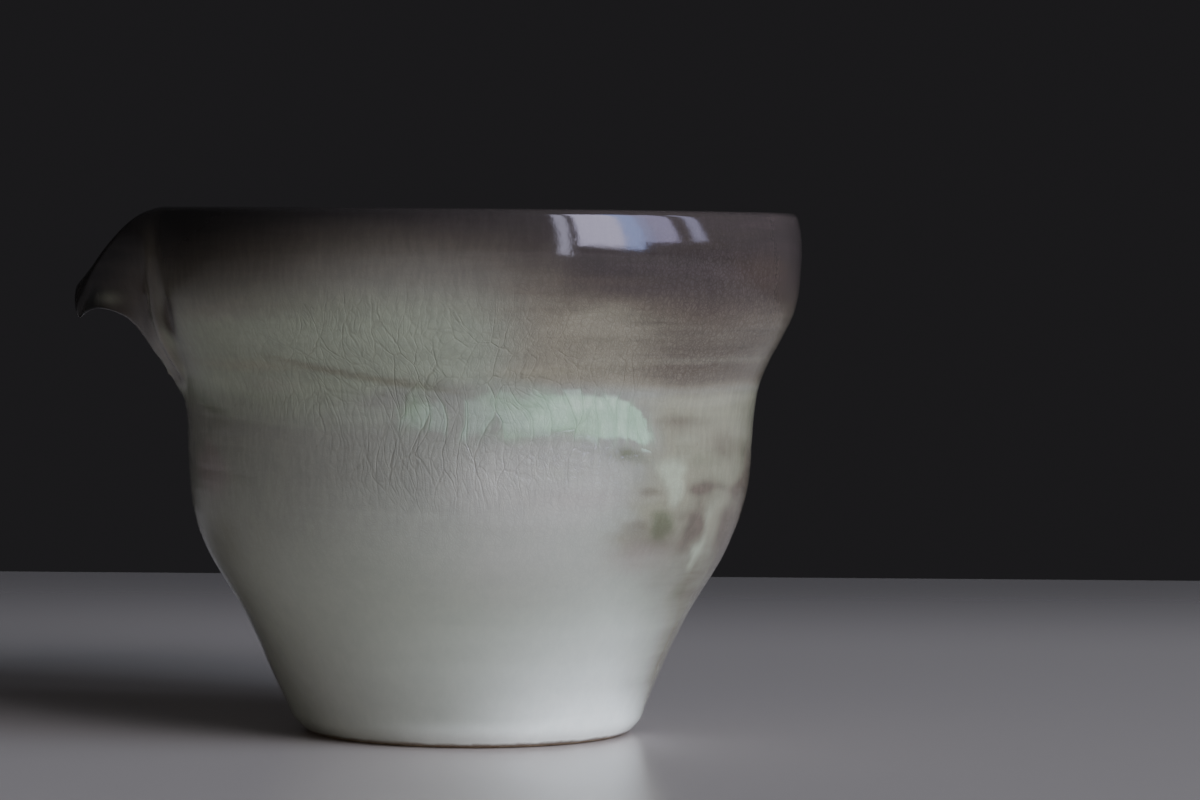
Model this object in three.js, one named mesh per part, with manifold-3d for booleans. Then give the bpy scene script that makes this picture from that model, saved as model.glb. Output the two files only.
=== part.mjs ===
// Handmade tea pitcher: a thrown bowl with a turned foot, a beak spout luted into a notch in its wall,
// the slip-and-coil joint round the spout, and the two coats of glaze. Millimetres, +Z up.
// The origin is the centre of the footprint box on the table. The thrown axis is vertical at x = AXIS_X.
import * as THREE from "three";
import { mergeVertices } from "three/addons/utils/BufferGeometryUtils.js";
import Module from "manifold-3d";

const wasm = await Module();
wasm.setup();

// ---- driving dimensions ----
const AXIS_X = 4.93; // thrown axis, so that spout tip and back of the rim are equally far from the origin
const GLAZE = 0.45; // thickness of one coat of glaze
const GAP = 0.3; // modelling gap between coat and clay
const CLAY = GLAZE + GAP; // depth of the clay's surface below the finished surface
const LIP_Z = 70.8; // plain height of the lip edges
const LIP_RISE = 1.15; // how far the rounded lip stands above the lip edges
const LEAN = 0.42; // the lower wall stands this far off the axis, towards the spout
const SEAM_W = 1.1; // half width of the luted joint
const SEAM_GAP = 0.15; // gap on each side of the joint
const SPOUT_HALF = 15.0; // half width of the wall that the spout draws out
const FOOT_OUT = 22.3, FOOT_IN = 17.6, RECESS_Z = 1.5; // turned foot ring and its recess
// finished outer profile (r, z), from the foot edge to the lip edge
const PROFILE = [[22.95, 0.7], [23.8, 1.6], [24.65, 3.45], [25.5, 5.5], [26.45, 7.6], [27.4, 9.7], [28.3, 11.8], [29.3, 13.85], [30.35, 15.95], [31.5, 18.0], [32.78, 20.1], [34.08, 22.2], [35.25, 24.25], [36.25, 26.35], [37.05, 28.4], [37.7, 30.5], [38.15, 32.55], [38.45, 34.6], [38.63, 36.7], [38.74, 38.75], [38.82, 40.8], [38.93, 42.9], [39.1, 44.9], [39.42, 47.0], [40.05, 49.3], [41.0, 51.4], [42.1, 53.5], [43.25, 55.6], [44.22, 57.7], [44.82, 59.75], [45.12, 61.8], [45.27, 63.9], [45.34, 65.9], [45.28, 67.9], [45.07, 69.5], [44.75, 70.8]];
// how far the middle of the spout stands out (DX) and drops (DZ) from the plain wall at plain height ZS
const ZS = [40, 44, 45.8, 47.2, 49.6, 52.1, 54.5, 56.9, 59.3, 61.9, 63.7, 65.6, 67.7, 69.4, 70.8];
const DZ = [0, 0, -0.1, -0.4, -1.05, -1.75, -2.5, -3.2, -4.0, -5.2, -6.4, -7.9, -10.1, -12.3, -14.2];
const DX = [0, 0, 0.25, 0.6, 0.9, 0.92, 0.85, 0.8, 1.2, 2.4, 3.6, 5.0, 6.5, 7.6, 8.5];
// share of that reach from the middle of the spout (0) to its sides (1)
const QS = [-0.237, -0.154, -0.076, 0, 0.076, 0.154, 0.237, 0.334, 0.45, 0.58, 0.71, 0.824, 0.92, 1];
const WX = [0.89, 0.95, 0.99, 1, 0.99, 0.95, 0.89, 0.81, 0.68, 0.52, 0.36, 0.205, 0.08, 0];
const TZ = [0, 16, 22, 30, 44, 60, 70.8], TT = [5.4, 5.0, 4.3, 3.7, 3.3, 2.9, 2.5]; // wall thickness at height
const PINCH = 0.4; // how much thinner the wall is at the beak's tip
// inner floor of the bowl (r, z), from the wall to the middle
const FLOOR = [[23.9, 14.9], [20.6, 11.4], [16.0, 8.6], [9.0, 6.5]];
const FLOOR_MID = 5.8;
// seam of the spout seen from the front (half width, z)
const SEAM = [[0, 47.1], [3.6, 47.8], [7.0, 49.9], [9.8, 52.7], [12.0, 55.5], [13.2, 58.2], [13.5, 61], [13.2, 65], [12.6, 68], [12.2, 72], [12.0, 80]];

// natural cubic spline through (xs, ys)
function spline(xs, ys) {
  const n = xs.length, h = [], a = [], b = [], M = new Array(n).fill(0);
  for (let i = 0; i < n - 1; i++) h.push(xs[i + 1] - xs[i]);
  const c = new Array(n).fill(0), d = new Array(n).fill(0);
  for (let i = 1; i < n - 1; i++) {
    const diag = 2 * (h[i - 1] + h[i]) - h[i - 1] * c[i - 1];
    const rhs = 6 * ((ys[i + 1] - ys[i]) / h[i] - (ys[i] - ys[i - 1]) / h[i - 1]);
    c[i] = h[i] / diag;
    d[i] = (rhs - h[i - 1] * d[i - 1]) / diag;
  }
  for (let i = n - 2; i > 0; i--) M[i] = d[i] - c[i] * M[i + 1];
  return (x) => {
    let i = 0;
    while (i < n - 2 && x > xs[i + 1]) i++;
    const t = x - xs[i], hh = h[i];
    return ys[i] + t * ((ys[i + 1] - ys[i]) / hh - (hh * (2 * M[i] + M[i + 1])) / 6) + (t * t * M[i]) / 2 + (t ** 3 * (M[i + 1] - M[i])) / (6 * hh);
  };
}
const radius = spline(PROFILE.map((p) => p[1]), PROFILE.map((p) => p[0]));
const drop = spline(ZS, DZ), reach = spline(ZS, DX), share = spline(QS, WX);
const smooth = (a, b, x) => {
  const t = Math.min(1, Math.max(0, (x - a) / (b - a)));
  return t * t * (3 - 2 * t);
};
// how far a point is from the middle of the spout, 0 to 1
function aside(phi, z) {
  if (Math.cos(phi) <= 0) return 1;
  const half = SPOUT_HALF * (0.45 + 0.55 * smooth(46, 58, z));
  return Math.min(1, Math.abs(radius(z) * Math.sin(phi)) / half);
}
const pull = (phi, z) => Math.min(1, Math.max(0, share(aside(phi, z))));
function thick(phi, z) {
  let i = 0;
  while (i < TZ.length - 2 && z > TZ[i + 1]) i++;
  const plain = TT[i] + ((z - TZ[i]) / (TZ[i + 1] - TZ[i])) * (TT[i + 1] - TT[i]);
  return plain - PINCH * pull(phi, z) ** 2 * smooth(58, LIP_Z, z);
}
// finished outer surface: phi is measured round the axis from the spout, z is the plain height
function outer(phi, z) {
  const r = radius(z), q = aside(phi, z), e = 0.16;
  const wz = Math.max(0, 1 - (Math.sqrt(q * q + e * e) - e) / (Math.sqrt(1 + e * e) - e)) ** 2;
  const zc = Math.max(z, 40), lean = LEAN * (1 - smooth(26, 37, z)) * smooth(-3, 10, z);
  return new THREE.Vector3(-(r * Math.cos(phi) + pull(phi, z) * reach(zc)) - lean, -r * Math.sin(phi), z + wz * drop(zc));
}
function frameAt(phi, z) {
  const e = 1e-3;
  const a = outer(phi + e, z).sub(outer(phi - e, z)), t = outer(phi, z + e).sub(outer(phi, z - e)).normalize();
  const n = new THREE.Vector3().crossVectors(a, t).normalize();
  return { p: outer(phi, z), n, t };
}
const far = frameAt(Math.PI, 50);
const SIDE = far.n.x > 0 ? 1 : -1; // makes the normal point out of the wall
const NEAR = [0, 1.4, 2.9, 4.6, 6.6, 9, 12, 15.5, 19, 23, 28]; // degrees, closer together at the spout
const PHIS = [...NEAR, ...Array.from({ length: 24 }, (_, i) => 28 + ((i + 1) * 304) / 25), ...NEAR.slice(1).reverse().map((d) => 360 - d)];
const COLS = PHIS.map((d) => THREE.MathUtils.degToRad(d));
const WALL_Z = [1.7, 5.2, 12, 18.1, 24.9, 30.5, 36, 41.5, 45.5, 49, 52.3, 55.6, 58.8, 62, 65.3, 68.3, LIP_Z];
// keeps a point that was moved inwards on its own side of the spout's middle
function keepSide(p, y) {
  const least = 0.22 * Math.abs(y);
  if (p.x < 0 && p.y * Math.sign(y) < least) p.y = Math.sign(y) * least;
  return p;
}
// a ring of points at plain height z, inside the finished surface by depth(wall thickness)
const wallRow = (z, depth) => COLS.map((phi) => {
  const f = frameAt(phi, z), y = f.p.y;
  return keepSide(f.p.addScaledVector(f.n, -SIDE * depth(thick(phi, z))), y);
});
const ring = (r, z) => COLS.map((phi) => new THREE.Vector3(-r * Math.cos(phi) - LEAN * (1 - smooth(26, 37, z)) * smooth(-3, 10, z), -r * Math.sin(phi), z));
// rounded lip between depths d0 (outside) and T - d0 (inside)
function lipRows(d0, angles) {
  return angles.map((deg) => COLS.map((phi) => {
    const z = LIP_Z, T = thick(phi, z), f = frameAt(phi, z), a = THREE.MathUtils.degToRad(deg), y = f.p.y;
    const rise = LIP_RISE - 0.25 * pull(phi, z) ** 2 - d0;
    const mid = f.p.clone().addScaledVector(f.n, (-SIDE * T) / 2);
    return keepSide(mid.addScaledVector(f.n, SIDE * (T / 2 - d0) * Math.cos(a)).addScaledVector(f.t, rise * Math.sin(a)), y);
  }));
}
// inner surface of the bowl below the wall rows, moved by depth into the clay
function floorRows(depth) {
  const pts = [thickPoint(18.1), ...FLOOR, [0, FLOOR_MID]];
  return FLOOR.map((p, i) => {
    const a = pts[i], b = pts[i + 2], dx = b[0] - a[0], dz = b[1] - a[1], l = Math.hypot(dx, dz);
    return ring(p[0] - (dz / l) * depth, p[1] + (dx / l) * depth);
  });
}
function thickPoint(z) {
  const f = frameAt(Math.PI, z), p = f.p.addScaledVector(f.n, -SIDE * thick(Math.PI, z));
  return [Math.abs(p.x) + LEAN, p.z];
}
// closed mesh from rows of points, with a point at each end, or joined end to end
function skin(rows, start, end, loop) {
  const pos = [], idx = [], n = COLS.length;
  rows.forEach((row) => row.forEach((p) => pos.push(p.x, p.y, p.z)));
  const quad = (a, b) => {
    for (let i = 0; i < n; i++) {
      const j = (i + 1) % n;
      idx.push(a * n + i, a * n + j, b * n + j, a * n + i, b * n + j, b * n + i);
    }
  };
  for (let k = 0; k + 1 < rows.length; k++) quad(k, k + 1);
  if (loop) quad(rows.length - 1, 0);
  if (start) {
    const s = pos.length / 3;
    pos.push(start.x, start.y, start.z);
    for (let i = 0; i < n; i++) idx.push(s, (i + 1) % n, i);
  }
  if (end) {
    const s = pos.length / 3, k = (rows.length - 1) * n;
    pos.push(end.x, end.y, end.z);
    for (let i = 0; i < n; i++) idx.push(s, k + i, k + ((i + 1) % n));
  }
  const make = () => new wasm.Manifold(new wasm.Mesh({ numProp: 3, vertProperties: new Float32Array(pos), triVerts: new Uint32Array(idx) }));
  let m = make();
  if (m.volume() < 0) {
    for (let i = 0; i < idx.length; i += 3) [idx[i + 1], idx[i + 2]] = [idx[i + 2], idx[i + 1]];
    m = make();
  }
  return m;
}
function solid(geometry) {
  const g = geometry.clone();
  g.deleteAttribute("normal");
  g.deleteAttribute("uv");
  const m = mergeVertices(g, 1e-4);
  return new wasm.Manifold(new wasm.Mesh({ numProp: 3, vertProperties: m.attributes.position.array, triVerts: new Uint32Array(m.index.array) }));
}
function toGeometry(m) {
  const out = m.getMesh(), g = new THREE.BufferGeometry();
  g.setAttribute("position", new THREE.BufferAttribute(new Float32Array(out.vertProperties), 3));
  g.setIndex(new THREE.BufferAttribute(new Uint32Array(out.triVerts), 1));
  g.computeVertexNormals();
  return g;
}

// ---- the clay: bowl, spout and turned foot as one form, then cut at the luted joint ----
const mid = new THREE.Vector3(0, 0, 0);
const clayWall = WALL_Z.map((z) => wallRow(z, () => CLAY));
const innerWall = WALL_Z.filter((z) => z >= 18).reverse();
const clay = skin(
  [
    ring(FOOT_IN - 0.8, RECESS_Z), ring(FOOT_IN, RECESS_Z - 0.5), ring(FOOT_IN + 0.4, 0), ring(FOOT_OUT - 0.5, 0), ring(FOOT_OUT, 0.5),
    ...clayWall, ...lipRows(CLAY, [45, 90, 135]),
    ...innerWall.map((z) => wallRow(z, (T) => T - CLAY)), ...floorRows(CLAY),
  ],
  new THREE.Vector3(0, 0, RECESS_Z), new THREE.Vector3(0, 0, FLOOR_MID - CLAY), false,
);
// tall prism with the seam's outline, moved outwards by grow, reaching from the axis to beyond the spout
function prism(grow) {
  const full = [...SEAM.slice(1).reverse().map(([y, z]) => [-y, z]), ...SEAM];
  const moved = full.map((p, i) => {
    const a = full[Math.max(0, i - 1)], b = full[Math.min(full.length - 1, i + 1)];
    const dx = b[0] - a[0], dz = b[1] - a[1], l = Math.hypot(dx, dz);
    return new THREE.Vector2(p[0] + (dz / l) * grow, p[1] - (dx / l) * grow);
  });
  const g = new THREE.ExtrudeGeometry(new THREE.Shape(moved), { depth: 60, bevelEnabled: false });
  g.applyMatrix4(new THREE.Matrix4().makeBasis(new THREE.Vector3(0, 1, 0), new THREE.Vector3(0, 0, 1), new THREE.Vector3(1, 0, 0)));
  g.translate(-75, 0, 0);
  return solid(g);
}
const body = clay.subtract(prism(SEAM_W + SEAM_GAP));
const joint = clay.intersect(prism(SEAM_W)).subtract(prism(-SEAM_W));
const beak = clay.intersect(prism(-SEAM_W - SEAM_GAP));

// ---- the coats of glaze ----
const outerCoat = skin(
  [
    ring(22.95, 0.75), ...WALL_Z.map((z) => wallRow(z, () => 0)), ...lipRows(0, [30, 60, 86]),
    ...lipRows(GLAZE, [84, 45]), ...[...WALL_Z].reverse().map((z) => wallRow(z, () => GLAZE)), ring(22.6, 1.0),
  ], null, null, true,
);
const linerCoat = skin(
  [
    ...[...floorRows(0)].reverse(), ...[...innerWall].reverse().map((z) => wallRow(z, (T) => T)),
    ...lipRows(0, [150, 120, 94]), ...lipRows(GLAZE, [96, 135]),
    ...innerWall.map((z) => wallRow(z, (T) => T - GLAZE)), ...floorRows(GLAZE),
  ],
  new THREE.Vector3(0, 0, FLOOR_MID), new THREE.Vector3(0, 0, FLOOR_MID - GLAZE), false,
);

const stoneware = new THREE.MeshStandardMaterial({ color: 0xb9a893, roughness: 0.85, metalness: 0 });
const slip = new THREE.MeshStandardMaterial({ color: 0xa99a88, roughness: 0.9, metalness: 0 });
const celadon = new THREE.MeshStandardMaterial({ color: 0xb4bcb2, roughness: 0.12, metalness: 0 });
const liner = new THREE.MeshStandardMaterial({ color: 0xaab4aa, roughness: 0.12, metalness: 0 });

const pitcher = new THREE.Group();
pitcher.position.x = AXIS_X;
for (const [name, m, material] of [
  ["thrown_body", body, stoneware], ["spout", beak, stoneware], ["spout_seam", joint, slip],
  ["outer_glaze", outerCoat, celadon], ["liner_glaze", linerCoat, liner],
]) {
  const mesh = new THREE.Mesh(toGeometry(m), material);
  mesh.name = name;
  pitcher.add(mesh);
}

export default pitcher;
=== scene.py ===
import math

import bpy
import numpy as np
from mathutils import Matrix, Vector


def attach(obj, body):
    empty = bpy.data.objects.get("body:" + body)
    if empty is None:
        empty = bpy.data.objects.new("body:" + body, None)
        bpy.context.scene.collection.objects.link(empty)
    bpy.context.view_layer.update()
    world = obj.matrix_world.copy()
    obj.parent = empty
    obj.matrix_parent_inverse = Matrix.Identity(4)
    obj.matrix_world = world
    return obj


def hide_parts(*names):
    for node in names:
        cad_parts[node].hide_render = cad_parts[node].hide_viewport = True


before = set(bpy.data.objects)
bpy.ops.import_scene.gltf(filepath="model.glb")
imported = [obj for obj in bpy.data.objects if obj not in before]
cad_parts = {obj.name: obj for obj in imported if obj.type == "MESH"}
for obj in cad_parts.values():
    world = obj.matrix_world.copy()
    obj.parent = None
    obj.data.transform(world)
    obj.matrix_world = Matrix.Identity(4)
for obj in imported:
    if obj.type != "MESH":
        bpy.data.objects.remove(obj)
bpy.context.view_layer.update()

# ---------------------------------------------------------------- the pitcher's shape, in millimetres
AXIS_X = 4.93
PROFILE = [(22.95, 0.7), (23.8, 1.6), (24.65, 3.45), (25.5, 5.5), (26.45, 7.6), (27.4, 9.7), (28.3, 11.8), (29.3, 13.85), (30.35, 15.95), (31.5, 18.0), (32.78, 20.1), (34.08, 22.2), (35.25, 24.25), (36.25, 26.35), (37.05, 28.4), (37.7, 30.5), (38.15, 32.55), (38.45, 34.6), (38.63, 36.7), (38.74, 38.75), (38.82, 40.8), (38.93, 42.9), (39.1, 44.9), (39.42, 47.0), (40.05, 49.3), (41.0, 51.4), (42.1, 53.5), (43.25, 55.6), (44.22, 57.7), (44.82, 59.75), (45.12, 61.8), (45.27, 63.9), (45.34, 65.9), (45.28, 67.9), (45.07, 69.5), (44.75, 70.8)]
ZS = [40, 44, 45.8, 47.2, 49.6, 52.1, 54.5, 56.9, 59.3, 61.9, 63.7, 65.6, 67.7, 69.4, 70.8]
DZ = [0, 0, -.1, -.4, -1.05, -1.75, -2.5, -3.2, -4.0, -5.2, -6.4, -7.9, -10.1, -12.3, -14.2]
DX = [0, 0, .25, .6, .9, .92, .85, .8, 1.2, 2.4, 3.6, 5.0, 6.5, 7.6, 8.5]
QS = [-.237, -.154, -.076, 0, .076, .154, .237, .334, .45, .58, .71, .824, .92, 1.0]
WX = [.89, .95, .99, 1, .99, .95, .89, .81, .68, .52, .36, .205, .08, 0]
TZ = [0, 16, 22, 30, 44, 60, 70.8]
TT = [5.4, 5.0, 4.3, 3.7, 3.3, 2.9, 2.5]
FLOOR = [(23.9, 14.9), (20.6, 11.4), (16.0, 8.6), (9.0, 6.5)]
FLOOR_MID = 5.8
SEAM = [(0, 46.7), (3.2, 47.0), (5.2, 48.2), (5.8, 49.9), (6.1, 51.8), (7.5, 54.5), (9.7, 57.4), (11.2, 60.2), (12.2, 63.5), (12.6, 67), (12.6, 69.5), (12.5, 72)]
SPOUT_HALF = 15.0
LIP_Z = 70.8
LIP_RISE = 1.15
LEAN = .42


def spline(xs, ys):
    xs, ys = np.array(xs, float), np.array(ys, float)
    n = len(xs)
    h = np.diff(xs)
    a = np.zeros((n, n))
    b = np.zeros(n)
    a[0, 0] = a[-1, -1] = 1
    for i in range(1, n - 1):
        a[i, i - 1], a[i, i], a[i, i + 1] = h[i - 1], 2 * (h[i - 1] + h[i]), h[i]
        b[i] = 6 * ((ys[i + 1] - ys[i]) / h[i] - (ys[i] - ys[i - 1]) / h[i - 1])
    m = np.linalg.solve(a, b)

    def at(x):
        x = np.asarray(x, float)
        i = np.clip(np.searchsorted(xs, x, side="right") - 1, 0, n - 2)
        t, hh = x - xs[i], h[i]
        return ys[i] + t * ((ys[i + 1] - ys[i]) / hh - hh * (2 * m[i] + m[i + 1]) / 6) + t * t * m[i] / 2 + t ** 3 * (m[i + 1] - m[i]) / (6 * hh)

    return at


radius = spline([z for _, z in PROFILE], [r for r, _ in PROFILE])
drop, reach, share = spline(ZS, DZ), spline(ZS, DX), spline(QS, WX)


def smooth(a, b, x):
    t = np.clip((x - a) / (b - a), 0, 1)
    return t * t * (3 - 2 * t)


def aside(phi, z):
    """How far a point is from the middle of the spout, 0 to 1."""
    y = radius(z) * np.sin(phi)
    half = SPOUT_HALF * (.45 + .55 * smooth(46, 58, z))
    return np.where(np.cos(phi) > 0, np.clip(np.abs(y) / half, 0, 1), 1.0)


def pull(phi, z):
    return np.clip(share(aside(phi, z)), 0, 1)


def lean(z):
    return LEAN * (1 - smooth(26, 37, z)) * smooth(-3, 10, z)


def outer(phi, z):
    """Finished outer surface. phi is measured round the axis from the spout, z is the plain height."""
    r, q, e = radius(z), aside(phi, z), .16
    wz = np.clip(1 - (np.sqrt(q * q + e * e) - e) / (math.sqrt(1 + e * e) - e), 0, 1) ** 2
    return np.stack([-(r * np.cos(phi) + pull(phi, z) * reach(np.maximum(z, 40))) - lean(z), -r * np.sin(phi), z + wz * drop(np.maximum(z, 40))], -1)


def directions(phi, z):
    """Unit vectors out of the wall and up along it."""
    e = 1e-3
    a = outer(phi + e, z) - outer(phi - e, z)
    t = outer(phi, z + e) - outer(phi, z - e)
    t /= np.linalg.norm(t, axis=-1, keepdims=True)
    n = np.cross(a, t)
    return SIDE * n / np.linalg.norm(n, axis=-1, keepdims=True), t


SIDE = 1.0
SIDE = float(np.sign(directions(np.array([math.pi]), np.array([50.0]))[0][0, 0]))


def thick(phi, z):
    return np.interp(z, TZ, TT) - .4 * pull(phi, z) ** 2 * smooth(58, LIP_Z, z)


# columns of the mesh: close together at the spout, 1.2 mm apart elsewhere
t_mid = np.linspace(-1, 1, 97)
fine = np.radians(32 * (.42 * t_mid + .58 * t_mid ** 3))
coarse = np.radians(np.linspace(32, 328, 192)[1:-1])
PHI = np.concatenate([fine, coarse])
N = len(PHI)
MIDDLE = 48
REACH_COLS = int(np.argmin(np.abs(np.degrees(fine) - 7.2))) - MIDDLE


def fillet(row, amount):
    """Rounds the fold in the middle of the spout on a row that lies inside the wall."""
    a, b = MIDDLE - REACH_COLS, MIDDLE + REACH_COLS
    pa, pb = row[a], row[b]
    span = PHI[b] - PHI[a]
    ta = (row[a] - row[a - 1]) / (PHI[a] - PHI[a - 1]) * span / 3
    tb = (row[b + 1] - row[b]) / (PHI[b + 1] - PHI[b]) * span / 3
    s = ((PHI[a:b + 1] - PHI[a]) / span)[:, None]
    curve = (1 - s) ** 3 * pa + 3 * s * (1 - s) ** 2 * (pa + ta) + 3 * s * s * (1 - s) * (pb - tb) + s ** 3 * pb
    w = (amount * smooth(1, .72, np.abs(PHI[a:b + 1]) / PHI[b]))[:, None]
    row = row.copy()
    row[a:b + 1] += (curve - row[a:b + 1]) * w
    return row


# the raised joint round the spout, as a dense line on the surface
seam_pts = np.array([(-y, z) for y, z in reversed(SEAM[1:])] + SEAM, float)
seam_len = np.concatenate([[0], np.cumsum(np.linalg.norm(np.diff(seam_pts, axis=0), axis=1))])
seam_s = np.linspace(0, seam_len[-1], 300)
seam_y = spline(seam_len, seam_pts[:, 0])(seam_s)
seam_z = spline(seam_len, seam_pts[:, 1])(seam_s)
wall_phi, wall_z = np.meshgrid(np.radians(np.linspace(-34, 34, 205)), np.linspace(44, 76, 161))
wall = outer(wall_phi.ravel(), wall_z.ravel())
near_wall = ((wall[None, :, 1] - seam_y[:, None]) ** 2 + (wall[None, :, 2] - seam_z[:, None]) ** 2).argsort(1)[:, :6]
seam_x = wall[near_wall, 0].mean(1)
seam_x = np.convolve(np.pad(seam_x, 7, "edge"), np.ones(15) / 15, "valid")
seam_line = np.stack([seam_x, seam_y, seam_z], -1)
seam_away = np.cross(np.gradient(seam_line, axis=0), directions(wall_phi.ravel()[near_wall[:, 0]], wall_z.ravel()[near_wall[:, 0]])[0])
seam_away = np.stack([np.convolve(np.pad(c, 7, "edge"), np.ones(15) / 15, "valid") for c in seam_away.T], -1)
seam_away *= np.sign(seam_away[-30, 1]) / np.linalg.norm(seam_away, axis=1, keepdims=True)


def seam_distance(p):
    """Distance from each point to the joint, less than 0 on the spout's side of it, and large behind the spout."""
    d = np.full(len(p), 99.0)
    near = p[:, 0] < -28
    q = p[near]
    gap = np.sqrt(((q[:, None, :] - seam_line[None]) ** 2).sum(-1))
    k = gap.argmin(1)
    far = np.where((np.abs(q[:, 1]) < np.abs(seam_line[k][:, 1])) & (q[:, 2] > 46.7), -1, 1) * gap.min(1)
    close = ((q - seam_line[k]) * seam_away[k]).sum(1)
    w = smooth(1.6, 3.4, gap.min(1))
    d[near] = close * (1 - w) + far * w
    return d


def waves(phi, z, seed, count, low, high, turns=5):
    """Sum of seeded waves round and up the wall, between about -1 and 1."""
    rng = np.random.default_rng(seed)
    total = np.zeros(np.broadcast(phi, z).shape)
    for _ in range(count):
        k = rng.integers(0, turns)
        total = total + np.cos(k * phi + rng.uniform(low, high) * z + rng.uniform(0, 6.28)) / count ** .5
    return total


def behind_joint(p):
    """Distances across and along the small hollow behind the joint, on either side of the spout."""
    y, h = np.abs(p[:, 1]) - 14.6, p[:, 2] - 57.0
    far = 99.0 * (p[:, 0] > -20)
    return .688 * y - .727 * h + far, .727 * y + .688 * h + far


def relief(phi, z, p):
    """Small height of the glazed surface above the ideal form: throwing lines, waver, the joint and its hollow."""
    calm = 1 - .9 * smooth(52, 61, z)
    lines = (.022 * waves(phi, z, 11, 14, 1.2, 2.6) + .008 * waves(phi, z, 12, 14, 3.0, 5.5)) * calm * (.25 + .75 * smooth(22, 38, z))
    waver = .05 * waves(phi, z, 13, 8, .05, .3)
    d = seam_distance(p)
    low = smooth(46.4, 51, p[:, 2]) * (1 - smooth(62.5, 69.5, p[:, 2]))
    ridge = .34 * np.exp(-((d - 1.0) / 1.6) ** 2) * low
    hollow = -.10 * np.exp(-((d - 4.2) / 1.8) ** 2) * low * smooth(49, 54, p[:, 2])
    across, along = behind_joint(p)
    pit = -.14 * np.exp(-((across + .3) / 1.8) ** 2 - ((along + .4) / 4.4) ** 2)
    return (lines + waver) * smooth(.7, 3, z) * (1 - smooth(66, 70.7, z)) + ridge + hollow + pit


# ---------------------------------------------------------------- where the glaze changes
def turn_from(u, u0):
    return (u - u0 + 180) % 360 - 180


def spot(u, z, u0, z0, wide, high, slope=0.0, power=2.0):
    """Soft oval patch, 1 in its middle. u is in degrees round the wall, z in mm."""
    du = turn_from(u, u0)
    dz = z - z0 - slope * du
    return np.exp(-((du / wide) ** 2 + (dz / high) ** 2) ** (power / 2))


# the dark iron band under the lip: how deep it reaches in mm, and how it fades, round the wall
BAND_U = [-180, -130, -95, -80, -70, -60, -50, -40, -30, -20, -10, 0, 10, 15, 20, 25, 30, 40, 60, 90, 130, 180]
BAND_B = [15, 16, 15, 15.9, 15.5, 14.9, 14.3, 14.1, 14.6, 14.4, 14.9, 16.4, 14.8, 12.6, 11.8, 12.5, 13.2, 14.8, 14.6, 16, 14, 15]
BAND_P = [1.4, 2.2, 2.2, 2.2, 1.9, 2.1, 1.8, 1.6, 1.15, 1.06, 1.1, 1.3, 2.2, 5, 9, 8, 7, 6, 5, 3.5, 1.8, 1.4]
TONE_U = [-180, -130, -95, -80, -60, -50, -40, -30, -20, -10, 0, 10, 20, 30, 40, 60, 90, 130, 180]
BAND_TONE = [.4, .3, 0, 0, 0, 0, .05, .1, .2, .35, .5, .7, .9, 1, 1, 1, .9, .6, .4]


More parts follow.
